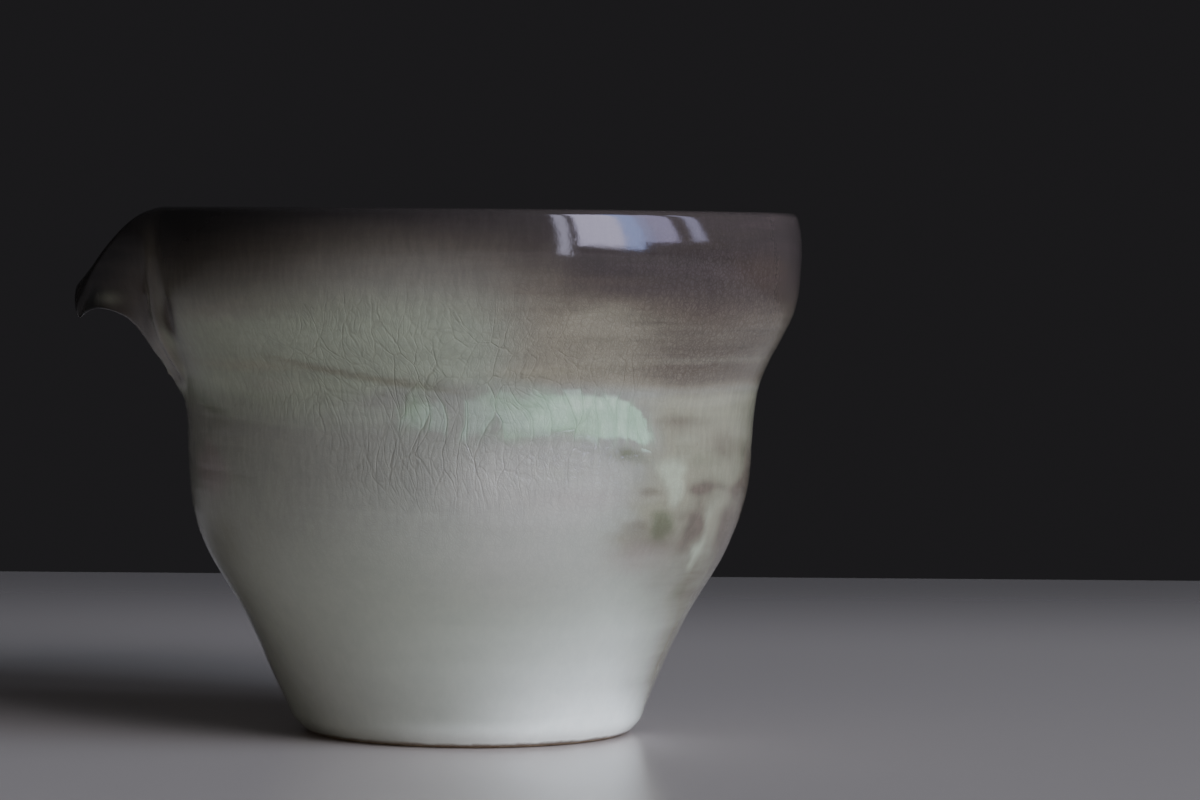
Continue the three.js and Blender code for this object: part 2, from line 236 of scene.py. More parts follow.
def zones(p, z, below, inside):
    """Strength of each kind of glaze at the points p. below is the distance under the lip, along the wall."""
    u = np.degrees(np.arctan2(p[:, 0], -p[:, 1]))
    h = p[:, 2]
    turn = np.radians(u)
    B, P = np.interp(u, BAND_U, BAND_B), np.interp(u, BAND_U, BAND_P)
    if inside:
        B, P = B * .5, np.full(len(u), 1.5)
    band = np.clip(1 - (below / B) ** P, 0, 1)
    made = {"band": band, "tone": np.interp(u, TONE_U, BAND_TONE)}
    if inside:
        rng = np.random.default_rng(5)
        green = sum(spot(u, h, rng.uniform(-180, 180), rng.uniform(12, 58), rng.uniform(18, 40), rng.uniform(5, 11)) for _ in range(9))
        pool = smooth(16, 7.5, h)
        made.update(porcelain=smooth(64, 30, h), white=.15 * pool, celadon=np.clip(.8 * green + .9 * pool, 0, 1), veil=.3 * smooth(50, 30, h), sage=.7 * smooth(30, 50, h), olive=.3 * pool, leaf=np.full(len(u), .7), net=np.full(len(u), .5))
        return made
    away = smooth(82, 104, np.abs(u))
    near = 1 - away
    # the edges of the patches wander; u1, h1 are the places where the formulas below are read
    u1 = u + (.55 + .45 * away) * (1.8 * waves(turn, h, 31, 24, .2, 1.5, 40) + 1.0 * waves(turn, h, 32, 24, 1.0, 3.0, 60))
    h1 = h + (.7 + .3 * away) * (.42 * waves(turn, h, 33, 24, .1, 1.2, 44) + .22 * waves(turn, h, 34, 24, .8, 3.0, 60))
    h2 = h + .16 * waves(turn, h, 35, 16, .05, .5, 16)
    # body: stone grey at the belly, porcelain below it, white at the foot: white glaze with painted bounce light from
    # the table on the front
    porcelain = np.clip(smooth(38.5, 20, h) + .26 * spot(u, h2, -55, 36.5, 13, 6.0, 0, 3) * near, 0, 1)
    # white glaze plus painted bounce light, strongest on the front and close to the foot
    white = np.interp(h, [2, 5, 8, 12, 16, 20, 25], [1, .95, .66, .40, .26, .13, 0]) * smooth(-16, 34, u) * smooth(150, 100, u) + .34 * smooth(4.6, 1.6, h) * smooth(-40, -8, u)
    veil = (.85 * spot(u, h2, 9, 36.0, 19, 6.0, 0, 4) + .35 * spot(u, h2, 2, 29.5, 26, 3.5) + .55 * spot(u, h2, 9, 24.5, 20, 5.0, 0, 3)) * near
    pink = (.8 * spot(u, h1, -68, 36.5, 8, 3.5, 0, 4) + .30 * spot(u, h2, 18, 34.3, 12, 1.2) + .60 * spot(u1, h1, 34, 26.2, 10, 2.4) + .35 * spot(u, h2, -52, 58.5, 12, 1.6) + .3 * spot(u, h2, -46, 48.4, 8, 1.0)) * near
    # above the waist: sage green at the left and in the middle, taupe and dusk at the right
    start = np.interp(u, [-80, -40, -28, -18, 10, 40], [43.6, 43.6, 44.8, 47.4, 47.8, 46.6])
    over = smooth(start, start + np.interp(u, [-40, -18], [4.2, 2.8]), h2)
    sage = over * smooth(64, 58, h) * smooth(16, -8, u) * near
    lit = (.75 * spot(u, h2, -37, 54.2, 19, 2.8, 0, 3) + .22 * spot(u, h2, -14, 53.5, 10, 3.4) + .85 * spot(u, h2, -53, 48.4, 18, 1.6, 0, 3) + .3 * spot(u, h2, -60, 52, 9, 3) + .36 * spot(u, h2, -40, 44.7, 27, 1.9, 0, 4)) * near
    taupe = over * smooth(-8, 14, u) * smooth(150, 100, u)
    dusk = smooth(start + .6, start + 3.4, h2) * smooth(16, 42, u) * smooth(150, 100, u) * (1 - .30 * near * smooth(54, 68, u))
    # right of the middle, from the waist down
    side = smooth(24, 42, u1 + .5 * np.maximum(39 - h, 0)) * smooth(49.0, 46.6, h2) * smooth(22.5, 29, h1) * smooth(150, 100, u)
    ledge = (.42 * spot(u, h2, 50, 46.6, 22, .8, 0, 4) + .30 * spot(u, h2, 62, 42.0, 16, 1.4) + .22 * spot(u, h2, 44, 52.0, 30, .45, 0, 4)) * near
    # stain on the lower body towards the right edge: partly glaze colour, partly painted shade at that edge
    start = np.interp(h, [2, 4, 8, 16, 20, 24, 28], [56, 51, 39, 36, 28, 24, 20])
    stain = np.clip((u - start) / 31, 0, 1) ** 1.25 * smooth(30, 24, h1) * smooth(150, 104, u)
    brown = (.92 * spot(u1, h1, 47.6, 35.0, 4.6, 1.15) + .55 * spot(u, h1, 56, 34.9, 5, .9) + .70 * spot(u, h1, 66, 34.6, 5, 1.3) + 1.0 * spot(u1, h1, 49.0, 30.4, 3.8, 1.8) + .46 * spot(u1, h1, 49.4, 32.9, 3.6, 1.1) + .62 * spot(u1, h1, 48.6, 27.6, 4.4, 2.2) + .60 * spot(u1, h1, 33.8, 34.5, 2.6, .9)
             + .55 * spot(u1, h1, 31.4, 30.4, 3.4, 1.4) + .50 * spot(u1, h1, 42.8, 31.6, 2.4, 1.0) + .42 * spot(u1, h1, 38, 28.0, 7, 1.5) + .20 * spot(u, h1, 40, 25.5, 10, 2.2) + .26 * spot(u, h1, 43, 22.4, 7, 2.4) + .40 * spot(u, h2, 42, 44.2, 10, 1.0) + .45 * spot(u, h2, 55.5, 41.4, 8, 2.2) + .36 * spot(u, h1, 57.5, 39.7, 4.0, 1.2)
             + .80 * spot(u, h1, 64, 29.0, 5.0, 3.8) + .20 * spot(u, h1, 65, 39.6, 5, 1.3) + .30 * spot(u1, h1, 60, 31.0, 4, 1.6) + .98 * spot(u, h1, 76, 27.5, 10, 8.0) + .60 * spot(u, h1, 76, 37.5, 8, 5.0) + .25 * spot(u, h1, 40, 42.5, 7, 3.0) + .26 * spot(u, h2, 54, 47.8, 24, .9, 0, 4) + .13 * spot(u, h2, 0, 30.3, 26, .9, 0, 3)
             + .50 * spot(u, h2, -77, 51.2, 9, 2.4)) * near
    olive = (.75 * spot(u1, h1, 28.5, 39.5, 4.8, 1.2, -.06) + 1.0 * spot(u1, h1, 38.3, 30.0, 3.3, 1.5) + .36 * spot(u1, h1, 38.6, 31.6, 2.6, .8) + .30 * spot(u1, h1, 40, 28.4, 5, 1.2) + .34 * spot(u1, h1, 47.4, 38.6, 4, 1.4) + .50 * spot(u1, h1, 68.5, 39.0, 4.0, 1.7) + .30 * spot(u1, h1, 36, 33.0, 2.4, .7)
             + .40 * spot(u1, h1, 54.5, 20.6, 4, 2.0) + .5 * spot(u1, h1, -66, 45.0, 8, 1.0, -.12) + .3 * spot(u1, h1, -66, 42.6, 7, 1.2) + .3 * spot(u1, h1, -64, 27, 7, 5) + .35 * spot(u1, h1, 68, 24, 6, 4) + .25 * spot(u, h2, 10, 50.6, 12, .8)) * near
    # a pale wedge that runs down between the dark spots, and a pale run of glaze to the right of them
    half = 1.1 + .70 * np.clip(h1 - 32.4, 0, 6.0)
    wedge = smooth(half + 2.2, half - 2.2, np.abs(u1 - 40.2 + .22 * np.clip(h1 - 32.6, 0, 6))) * smooth(31.2, 33.8, h1) * smooth(40.2, 37.2, h1)
    run = np.exp(-((u1 - 53.9 + .05 * (h1 - 25.6)) / 2.2) ** 2) * smooth(22.2, 24.6, h1) * (smooth(29.4, 26.4, h1) + .45 * smooth(34.2, 31.5, h1) * smooth(26.4, 29.4, h1))
    pale = (.60 * wedge + .64 * run + .20 * spot(u1, h1, 57, 32.3, 3.2, 1.2) + .30 * spot(u1, h1, 38.5, 38.8, 4.6, 1.0) + .25 * spot(u1, h1, 14, 37.2, 5, 1.4) + .28 * spot(u1, h1, 43, 41.4, 4, 1.0) + .20 * spot(u1, h1, 54, 37.0, 5, 1.1)
            + .20 * spot(u, h2, 2, 21.0, 26, 5.0, 0, 3)) * near
    brush = (.34 * spot(u, h2, -50, 50.9, 16, .7, 0, 3) + .25 * spot(u, h2, 8, 50.8, 9, .7, 0, 3)) * near
    umber = (.62 * spot(u, h2, -25, 49.9, 19, .50, -.115, 4) + .30 * spot(u, h2, -12, 48.9, 8, .8, -.05, 3) + .12 * spot(u, h2, 52, 50.6, 25, .75, 0, 4) + .30 * spot(u, h2, 46, 55.0, 17, 1.9, 0, 4) + .40 * spot(u, h2, 50, 53.7, 20, .35, 0, 4) + .52 * spot(u, h2, 21, 58.8, 11, 1.6, -.03, 3)
             + .56 * spot(u, h2, 31, 57.9, 8, 2.2, -.05, 3) + .45 * spot(u, h2, 17, 60.6, 13, .4, -.03, 3) + .28 * spot(u, h2, 22, 54.4, 9, .9, 0, 3) + .20 * spot(u, h2, 20, 50.8, 9, .7, 0, 3) + .30 * spot(u, h2, 34, 57.2, 14, .35, 0, 4) + .40 * spot(u, h2, 24, 64.2, 22, .5, 0, 4)) * near
    rust = (.40 * spot(u, h2, 56, 63.6, 12, 2.6, 0, 3) + .25 * spot(u, h2, 19, 62.5, 9, .6, 0, 3)) * near
    # celadon ran down to the waist and pooled there in a strip
    rim = np.interp(u, [-22, -12, -6, 0, 9, 15, 21, 27, 31, 34, 37], [45.4, 46.8, 47.2, 48.2, 47.9, 48.1, 47.7, 47.0, 45.9, 43.2, 41.8])
    end = np.interp(u, [-22, -12, -4, 3, 12, 18, 24, 33, 37], [43.6, 42.6, 41.9, 42.0, 42.5, 42.2, 41.0, 40.5, 41.4])
    celadon = np.interp(u, [-28, -18, -14, -8, 0, 6, 10, 14, 31, 35, 38], [0, .30, .46, .42, .48, .58, .78, .95, .95, .6, 0]) * smooth(rim + 1.1, rim - 1.1, h1) * smooth(end - 1.1, end + 1.5, h1) * near
    mint = (.85 * spot(u1, h1, 21, 46.5, 5.6, 1.0) + .50 * spot(u1, h1, 14.5, 46.5, 3.4, 1.0) + .50 * spot(u1, h1, 11.5, 44.9, 3.2, 1.3) + .50 * spot(u1, h1, 24.5, 43.4, 4.2, 1.3) + .40 * spot(u1, h1, 29, 42.2, 4, 1.2)) * near
    deep = (.66 * spot(u1, h1, 3.0, 46.8, 5.0, 1.8) + .75 * spot(u1, h1, -14.5, 46.0, 2.8, 2.2, .35) + .40 * spot(u1, h1, 19, 44.8, 3.8, .8) + .70 * spot(u1, h1, 16.5, 42.9, 4.2, .9) + .60 * spot(u1, h1, 4, 42.3, 5.5, .9) + .25 * spot(u1, h1, 10, 47.2, 3.0, .8) + .4 * spot(u1, h1, -66, 45.4, 8, .9, -.12)) * near
    shade = np.clip((-46 - u) / 32, 0, 1) * smooth(33, 24, h1) * np.interp(h, [5, 16], [1.7, 1]) * near
    # the far side carries the same kinds of glaze in its own places
    rng = np.random.default_rng(23)
    sage = sage + away * smooth(47, 50, h2) * smooth(64, 58, h) * (.35 + .65 * smooth(-1, 1, np.cos(np.radians(u - 215))))
    for _ in range(6):
        u0 = rng.uniform(100, 262)
        celadon = celadon + away * rng.uniform(.6, .9) * spot(u1, h1, u0, rng.uniform(43, 47), rng.uniform(12, 24), rng.uniform(1.8, 3.2), rng.uniform(-.05, .05), 3)
        lit = lit + away * .6 * spot(u, h2, u0 + 20, rng.uniform(52, 56), rng.uniform(12, 20), 2.8, 0, 3)
    for _ in range(9):
        u0, z0 = rng.uniform(96, 200), rng.uniform(25, 37)
        brown = brown + away * rng.uniform(.4, .85) * spot(u1, h1, u0, z0, rng.uniform(5, 14), rng.uniform(1.0, 2.4), 0, 2)
        olive = olive + away * rng.uniform(.3, .7) * spot(u1, h1, u0 + rng.uniform(-8, 8), z0 + rng.uniform(-3, 4), rng.uniform(4, 9), rng.uniform(1.2, 2.6), 0, 2)
        pale = pale + away * .6 * spot(u1, h1, u0 + rng.uniform(-14, 14), z0 + rng.uniform(-4, 6), rng.uniform(3, 6), rng.uniform(1.4, 2.4), 0, 2)
    for _ in range(5):
        umber = umber + away * rng.uniform(.3, .6) * spot(u, h2, rng.uniform(100, 260), rng.uniform(47.5, 58), rng.uniform(14, 30), rng.uniform(.4, 1.0), 0, 4)
    veil = veil + away * .8 * spot(u, h2, 190, 35, 40, 6, 0, 3)
    leaf = np.clip(.62 * spot(u, h, -10, 47, 52, 14, 0, 4) + .60 * spot(u, h, 6, 45.4, 36, 6.4, 0, 4) + away * .6 * spot(u, h, 180, 46, 70, 14, 0, 4) + .06, 0, 1) * smooth(14, 32, h) * (1 - .8 * near * smooth(-22, -42, u) * smooth(46, 42, h))
    net = np.clip(spot(u, h, 34, 58, 32, 10, 0, 4) + .5 * spot(u, h, 14, 38, 30, 7) + .30, 0, 1) * smooth(12, 30, h)
    # the spout: its flank, its pale joint, the dark pool behind the joint (dark glaze with painted shade in the slit
    # and the crease) and the black at its tip, a painted reflection of the dark surroundings
    d = seam_distance(p)
    low = smooth(46.4, 49, h)
    flank = smooth(.4, -1.6, d)
    middle = np.interp(h, [50, 56], [.5, 1.1])
    joint = np.exp(-((d - middle) / np.where(d > middle, 1.25, np.interp(h, [51, 54, 57.5], [5.0, 3.0, 1.3]))) ** 2) * low * smooth(71.0, 62.0, h)
    across, along = behind_joint(p)
    # dark glaze pooled behind the joint, with painted shade in the slit there and in the crease where the spout meets
    # the wall
    pool = np.exp(-((across + .45) / 1.35) ** 2 - ((along + .4) / 4.0) ** 4) + .36 * np.exp(-((across - .3) / 3.0) ** 2 - ((along + .2) / 4.8) ** 2)
    pool = pool + .7 * np.exp(-((d + 2.5) / 1.6) ** 2 - ((h - 59.4) / 3.0) ** 4)
    pool = pool + .5 * spot(u, h, -82, 48.6, 4.5, 1.1)
    # black at the spout's tip: a painted reflection of the dark surroundings
    tip = np.exp(-((p[:, 0] + 53.2) / 2.7) ** 4 - ((h - 58.7) / 2.1) ** 4) * (below > .9)
    drip = np.exp(-((p[:, 0] + 49.4) / 1.5) ** 2 - ((h - 59.1) / .9) ** 2) * (below > 3)
    made.update(porcelain=porcelain, white=white, veil=veil, pink=pink, sage=sage * (1 - flank), lit=lit, taupe=taupe, dusk=dusk, side=side, ledge=ledge, stain=stain, brown=brown, olive=olive, pale=pale, brush=brush, umber=umber, rust=rust, celadon=celadon * (1 - flank), mint=mint, deep=deep, shade=shade, leaf=leaf * (1 - flank), net=net, joint=joint, pool=pool, flank=flank, tip=tip, drip=drip)
    return {k: np.clip(v, 0, 1) for k, v in made.items()}


NAMES = ["lip", "band", "tone", "porcelain", "white", "veil", "pink", "sage", "lit", "taupe", "dusk", "side", "ledge", "stain", "brown", "olive", "pale", "brush", "umber", "rust", "celadon", "mint", "deep", "shade", "leaf", "net", "joint", "pool", "flank", "tip", "drip"]
rows, marks = [], {n: [] for n in NAMES}


def add(points, z, dist, inside=False):
    rows.append(points)
    got = zones(points, z, np.abs(dist) if np.ndim(dist) else np.full(N, abs(float(dist))), inside)
    got["lip"] = np.full(N, float(dist))
    for n in NAMES:
        marks[n].append(np.asarray(got.get(n, np.zeros(N)), float) * np.ones(N))


def revolve(r, z):
    return np.stack([-r * np.cos(PHI) - lean(z), -r * np.sin(PHI), np.full(N, float(z))], -1)


# back of the glaze under the foot, hidden by the bare clay
for r, z in [(21.6, 2.5), (22.0, 1.6), (22.15, .9), (22.25, .55), (22.42, .33)]:
    add(revolve(r, z), z, 80)
for z in np.concatenate([np.linspace(.36, 4, 11), np.linspace(4, LIP_Z, 176)[1:]]):
    zz = np.full(N, z)
    p = outer(PHI, zz)
    n, _ = directions(PHI, zz)
    add(p + n * relief(PHI, zz, p)[:, None], z, LIP_Z - z)
zz = np.full(N, LIP_Z)
T = thick(PHI, zz)[:, None]
rise = (LIP_RISE - .35 * pull(PHI, zz) ** 2)[:, None]
n, t = directions(PHI, zz)
for a in np.radians(np.linspace(0, 180, 19)[1:-1]):
    row = outer(PHI, zz) - n * T / 2 + n * (T / 2) * math.cos(a) + t * rise * math.sin(a)
    add(fillet(row, smooth(0, .8, (1 - math.cos(a)) / 2)), LIP_Z, 0, a > math.pi / 2)
for z in np.linspace(LIP_Z, 18.1, 84):
    zz = np.full(N, z)
    n, _ = directions(PHI, zz)
    add(fillet(outer(PHI, zz) - n * thick(PHI, zz)[:, None], 1.0), z, -(LIP_Z - z) - .01, True)
start = rows[-1][np.argmin(np.abs(PHI - math.pi))]
pts = np.array([(abs(start[0] + lean(18.1)), start[2])] + FLOOR + [(0, FLOOR_MID)])
s = np.concatenate([[0], np.cumsum(np.linalg.norm(np.diff(pts, axis=0), axis=1))])
ss = np.linspace(0, s[-1], 26)
for r, z in list(zip(spline(s, pts[:, 0])(ss), spline(s, pts[:, 1])(ss)))[1:-1]:
    add(revolve(max(r, .05), z), z, -60, True)


def make_object(name, grid, first, last, attributes=None):
    k = len(grid)
    v = [tuple(x) for row in grid for x in row]
    f = []
    for i in range(k - 1):
        for j in range(N):
            j2 = (j + 1) % N
            f.append((i * N + j, i * N + j2, (i + 1) * N + j2, (i + 1) * N + j))
    v.append(tuple(first))
    v.append(tuple(last))
    for j in range(N):
        j2 = (j + 1) % N
        f.append((k * N, j2, j))
        f.append((k * N + 1, (k - 1) * N + j, (k - 1) * N + j2))
    v = (np.array(v) + np.array([AXIS_X, 0, 0])) / 1000
    mesh = bpy.data.meshes.new(name)
    mesh.from_pydata(v.tolist(), [], f)
    mesh.update()
    if sum((p.center.dot(p.normal) * p.area for p in mesh.polygons), 0.0) < 0:
        mesh.flip_normals()
    mesh.polygons.foreach_set("use_smooth", np.ones(len(mesh.polygons), bool))
    for key, lists in (attributes or {}).items():
        a = mesh.attributes.new(key, "FLOAT", "POINT")
        flat = np.concatenate(lists)
        a.data.foreach_set("value", np.concatenate([flat, [flat[0], flat[-1]]]).astype(np.float32))
    ob = bpy.data.objects.new(name, mesh)
    bpy.context.scene.collection.objects.link(ob)
    return ob


glaze = make_object("glazed_ware", rows, (0, 0, 2.5), (0, 0, FLOOR_MID), marks)
foot_rows = [revolve(r, z) for r, z in [(6, 1.5), (12, 1.5), (16.6, 1.5), (17.1, 1.45), (17.4, 1.25), (17.65, .8), (17.8, .35), (18.0, .1), (18.3, .0), (19.8, .0), (21.5, .0), (21.75, .04), (21.95, .16), (22.05, .35), (22.1, .7), (22.1, 1.3), (22.1, 3.0), (12, 3.0)]]
foot = make_object("bare_foot", foot_rows, (0, 0, 1.5), (0, 0, 3.0))


# ---------------------------------------------------------------- materials
class Nodes:
    def __init__(self, name):
        self.mat = bpy.data.materials.new(name)
        self.mat.use_nodes = True
        self.t = self.mat.node_tree
        self.bsdf = self.t.nodes["Principled BSDF"]

    def add(self, kind, **values):
        n = self.t.nodes.new(kind)
        for k, v in values.items():
            if k in n.inputs:
                n.inputs[k].default_value = v
            else:
                setattr(n, k, v)
        return n

    def link(self, a, b):
        self.t.links.new(a, b)

    def put(self, value, socket):
        if isinstance(value, bpy.types.NodeSocket):
            self.link(value, socket)
        else:
            socket.default_value = value

    def math(self, op, a, b=None, c=None, clamp=False):
        n = self.add("ShaderNodeMath", operation=op, use_clamp=clamp)
        for i, v in enumerate((a, b, c)):
            if v is not None:
                self.put(v, n.inputs[i])
        return n.outputs[0]

    def times(self, *parts):
        out = parts[0]
        for p in parts[1:]:
            out = self.math("MULTIPLY", out, p)
        return out

    def ramp(self, x, lo, hi, a=0.0, b=1.0):
        n = self.add("ShaderNodeMapRange", interpolation_type="SMOOTHSTEP")
        for i, v in enumerate((x, lo, hi, a, b)):
            self.put(v, n.inputs[i])
        return n.outputs[0]

    def mix(self, f, a, b, blend="MIX"):
        n = self.add("ShaderNodeMix", data_type="RGBA", blend_type=blend)
        self.put(f, n.inputs[0])
        for v, s in ((a, n.inputs[6]), (b, n.inputs[7])):
            self.put((*v, 1.0) if isinstance(v, tuple) and len(v) == 3 else v, s)
        return n.outputs[2]

    def value(self, name):
        return self.add("ShaderNodeAttribute", attribute_name=name).outputs["Fac"]

    def mapping(self, v, scale=(1, 1, 1), loc=(0, 0, 0)):
        n = self.add("ShaderNodeMapping")
        n.inputs["Scale"].default_value = scale
        n.inputs["Location"].default_value = loc
        self.link(v, n.inputs["Vector"])
        return n.outputs[0]

    def noise(self, v, scale, detail=3.0, rough=.55, distortion=0.0):
        n = self.add("ShaderNodeTexNoise")
        n.inputs["Scale"].default_value = scale
        n.inputs["Detail"].default_value = detail
        n.inputs["Roughness"].default_value = rough
        n.inputs["Distortion"].default_value = distortion
        self.link(v, n.inputs["Vector"])
        return n.outputs[0]

    def shifted(self, v, scale, amount, detail=2.0):
        """v moved about by noise, by up to about half the amount each way."""
        n = self.add("ShaderNodeTexNoise")
        n.inputs["Scale"].default_value = scale
        n.inputs["Detail"].default_value = detail
        self.link(v, n.inputs["Vector"])
        s = self.add("ShaderNodeVectorMath", operation="SCALE")
        s.inputs["Scale"].default_value = amount
        self.link(n.outputs["Color"], s.inputs[0])
        a = self.add("ShaderNodeVectorMath", operation="ADD")
        self.link(v, a.inputs[0])
        self.link(s.outputs[0], a.inputs[1])
        return a.outputs[0]

    def cell(self, v, scale):
        """A random value for each cell of the crackle."""
        n = self.add("ShaderNodeTexVoronoi", feature="F1")
        n.inputs["Scale"].default_value = scale
        self.link(v, n.inputs["Vector"])
        s = self.add("ShaderNodeSeparateColor")
        self.link(n.outputs["Color"], s.inputs[0])
        return s.outputs[0]

    def edge(self, v, scale, rand=1.0):
        n = self.add("ShaderNodeTexVoronoi", feature="DISTANCE_TO_EDGE")
        n.inputs["Scale"].default_value = scale
        n.inputs["Randomness"].default_value = rand
        self.link(v, n.inputs["Vector"])
        return n.outputs["Distance"]


g = Nodes("crackled_glaze")
tc = g.add("ShaderNodeTexCoord").outputs["Object"]
xyz = g.add("ShaderNodeSeparateXYZ")
g.link(tc, xyz.inputs[0])
zmm = g.math("MULTIPLY", xyz.outputs[2], 1000.0)
v = {n: g.value(n) for n in NAMES}

cloud = g.noise(g.mapping(tc, (1, 1, 1.4)), 60.0, 4, .55)
mottle = g.noise(g.mapping(tc, (1, 1, 1.2), (.3, .1, .7)), 330.0, 5, .62, .3)
fleck = g.noise(g.mapping(tc, (1, 1, 1), (.7, .4, .2)), 720.0, 4, .65)
brushed = g.noise(g.mapping(tc, (1, 1, 13), (.2, .5, .1)), 42.0, 5, .62)
strokes = g.noise(g.mapping(tc, (1, 1, 22), (.6, .3, .9)), 60.0, 4, .6)

# crackle: long leaf-shaped cells, shorter ones between them, and a fine net
curved = g.shifted(g.shifted(tc, 70.0, .0075, 1.0), 260.0, .0013, 2.0)
leaf_at = g.mapping(curved, (1, 1, .30))
long_a = g.edge(leaf_at, 310.0)
cell = g.cell(leaf_at, 310.0)
long_b = g.edge(g.mapping(curved, (1, 1, .36), (.3, .8, .5)), 640.0)
long_c = g.edge(g.mapping(g.shifted(curved, 500.0, .0006, 1.0), (1, 1, .24), (.9, .2, .7)), 1150.0)
netted = g.shifted(g.shifted(tc, 330.0, .0019, 2.0), 1100.0, .0005, 1.0)
tight = g.edge(g.mapping(netted, (1, 1, .85), (.5, .1, .2)), 1350.0)
tiny = g.edge(g.mapping(netted, (1, 1, .8), (.8, .6, .3)), 2400.0)
some = g.ramp(g.noise(g.mapping(tc, (1, 1, .6), (.6, .6, .2)), 90.0, 2), .34, .54)
few = g.ramp(g.noise(g.mapping(tc, (1, 1, .5), (.2, .4, .8)), 120.0, 2), .40, .62)
leafy = g.ramp(v["leaf"], .05, .7)
crack_a = g.times(g.ramp(long_a, .0, .045, 1.0, 0.0), leafy, g.ramp(few, .0, 1.0, .5, 1.0))
crack_b = g.times(g.ramp(long_b, .0, .090, 1.0, 0.0), some, leafy)
crack_d = g.times(g.ramp(long_c, .0, .16, 1.0, 0.0), g.ramp(v["leaf"], .02, .5))
crack_c = g.times(g.math("MAXIMUM", g.ramp(tight, .0, .17, 1.0, 0.0), g.ramp(tiny, .0, .22, .75, 0.0)), v["net"])
cracks = g.math("MAXIMUM", g.math("MAXIMUM", crack_a, g.times(crack_b, .7)), g.math("MAXIMUM", crack_c, g.times(crack_d, .5)))
hair = g.noise(g.mapping(g.shifted(tc, 180.0, .0016, 2.0), (1, 1, .20), (.1, .9, .4)), 1250.0, 3, .6)


def patch(mark, noise, lo=.3, hi=.7, amount=.9):
    """Zone with an irregular edge: the mark is shifted by noise and then hardened."""
    return g.ramp(g.math("ADD", v[mark] if isinstance(mark, str) else mark, g.times(g.math("SUBTRACT", noise, .5), amount)), lo, hi)


STONE, PORCELAIN, WHITE_AND_BOUNCE_LIGHT = (.298, .296, .262), (.455, .478, .408), (.95, .975, .94)
SAGE, LIT, TAUPE = (.352, .378, .298), (.430, .470, .372), (.288, .258, .200)
base = g.mix(v["porcelain"], STONE, PORCELAIN)
# painted shade: the body's colour darker towards the foot
base = g.mix(g.times(g.ramp(zmm, 20.0, 4.0), .55), base, (.415, .425, .390))
# white glaze at the foot, brightened on the front with painted bounce light from the table
base = g.mix(v["white"], base, WHITE_AND_BOUNCE_LIGHT)
base = g.mix(g.times(v["veil"], g.ramp(cloud, .25, .7, .60, 1.0)), base, (.490, .468, .432))
base = g.mix(g.times(v["sage"], .95), base, SAGE)
base = g.mix(g.times(v["lit"], g.ramp(brushed, .3, .7, .75, 1.0)), base, LIT)
base = g.mix(g.times(patch("side", mottle, .0, 1.0, .35), .95), base, g.mix(g.ramp(cloud, .35, .65), (.288, .272, .202), (.238, .225, .165)))
base = g.mix(patch("taupe", brushed, .0, 1.0, .25), base, TAUPE)
base = g.mix(patch("dusk", brushed, .0, 1.0, .25), base, g.mix(g.ramp(brushed, .35, .7), (.176, .148, .120), (.144, .119, .098)))
base = g.mix(v["ledge"], base, (.36, .34, .27))
# stain and painted shade towards the right edge of the lower body
base = g.mix(g.math("ADD", v["stain"], g.times(g.math("SUBTRACT", cloud, .5), v["stain"], .5), clamp=True), base, g.mix(g.ramp(brushed, .3, .7), (.235, .225, .17), (.185, .165, .125)))
base = g.mix(g.times(v["shade"], .46), base, g.mix(g.ramp(cloud, .3, .7), (.20, .215, .165), (.20, .19, .17)))
base = g.mix(g.times(v["pink"], .8), base, (.36, .30, .285))
base = g.mix(g.times(v["umber"], g.ramp(brushed, .3, .7, .6, 1.0)), base, g.mix(v["tone"], (.235, .215, .155), (.115, .095, .076)))
base = g.mix(g.times(v["brush"], g.ramp(brushed, .3, .7, .6, 1.0)), base, (.45, .41, .30))
# celadon pools end at the edges of the crackle's cells
uneven = g.times(v["celadon"], g.math("SUBTRACT", 1.0, v["celadon"]), 4.0)
pooled = g.math("ADD", v["celadon"], g.times(g.math("SUBTRACT", cell, .5), uneven, 1.0))
green = g.mix(g.ramp(v["celadon"], .40, .85), g.mix(cell, (.350, .405, .340), (.400, .455, .390)), g.mix(cell, (.385, .520, .385), (.470, .610, .470)))
green = g.mix(g.times(v["mint"], g.ramp(cell, .0, 1.0, .55, 1.0)), green, (.58, .69, .57))
base = g.mix(g.ramp(g.math("ADD", pooled, g.times(g.math("SUBTRACT", mottle, .5), .22)), .24, .70, 0.0, .96), base, green)
base = g.mix(g.times(v["celadon"], g.ramp(long_a, .02, .16, .45, 0.0), g.ramp(v["leaf"], .3, .8)), base, (.32, .45, .32))
base = g.mix(g.times(v["deep"], g.ramp(cell, .15, .85, .55, 1.0), .85), base, (.295, .385, .262))
base = g.mix(g.times(patch("olive", mottle, .05, .95, .28), .95), base, (.140, .142, .092))
base = g.mix(g.times(patch("brown", mottle, .05, .95, .26), .92), base, g.mix(g.ramp(fleck, .35, .65), (.135, .110, .088), (.155, .120, .098)))
base = g.mix(g.times(patch("pale", mottle, .05, .95, .26), .9), base, (.455, .49, .375))
base = g.mix(g.times(v["flank"], g.ramp(zmm, 48.5, 55.5)), base, g.mix(g.ramp(zmm, 52.0, 57.0), (.17, .15, .125), g.mix(g.ramp(mottle, .35, .7), (.046, .034, .027), (.062, .047, .038))))
# brushed lines
lines = g.times(g.ramp(strokes, .5, .75), g.ramp(zmm, 47.0, 54.0))
base = g.mix(g.times(lines, g.math("ADD", g.times(v["dusk"], .38), .05)), base, (.09, .075, .065))
base = g.mix(g.times(g.ramp(brushed, .48, .75), g.ramp(zmm, 24.0, 46.0), g.math("ADD", g.times(v["dusk"], .30), .10)), base, g.mix(1.0, base, (1.42, 1.36, 1.28), "MULTIPLY"))

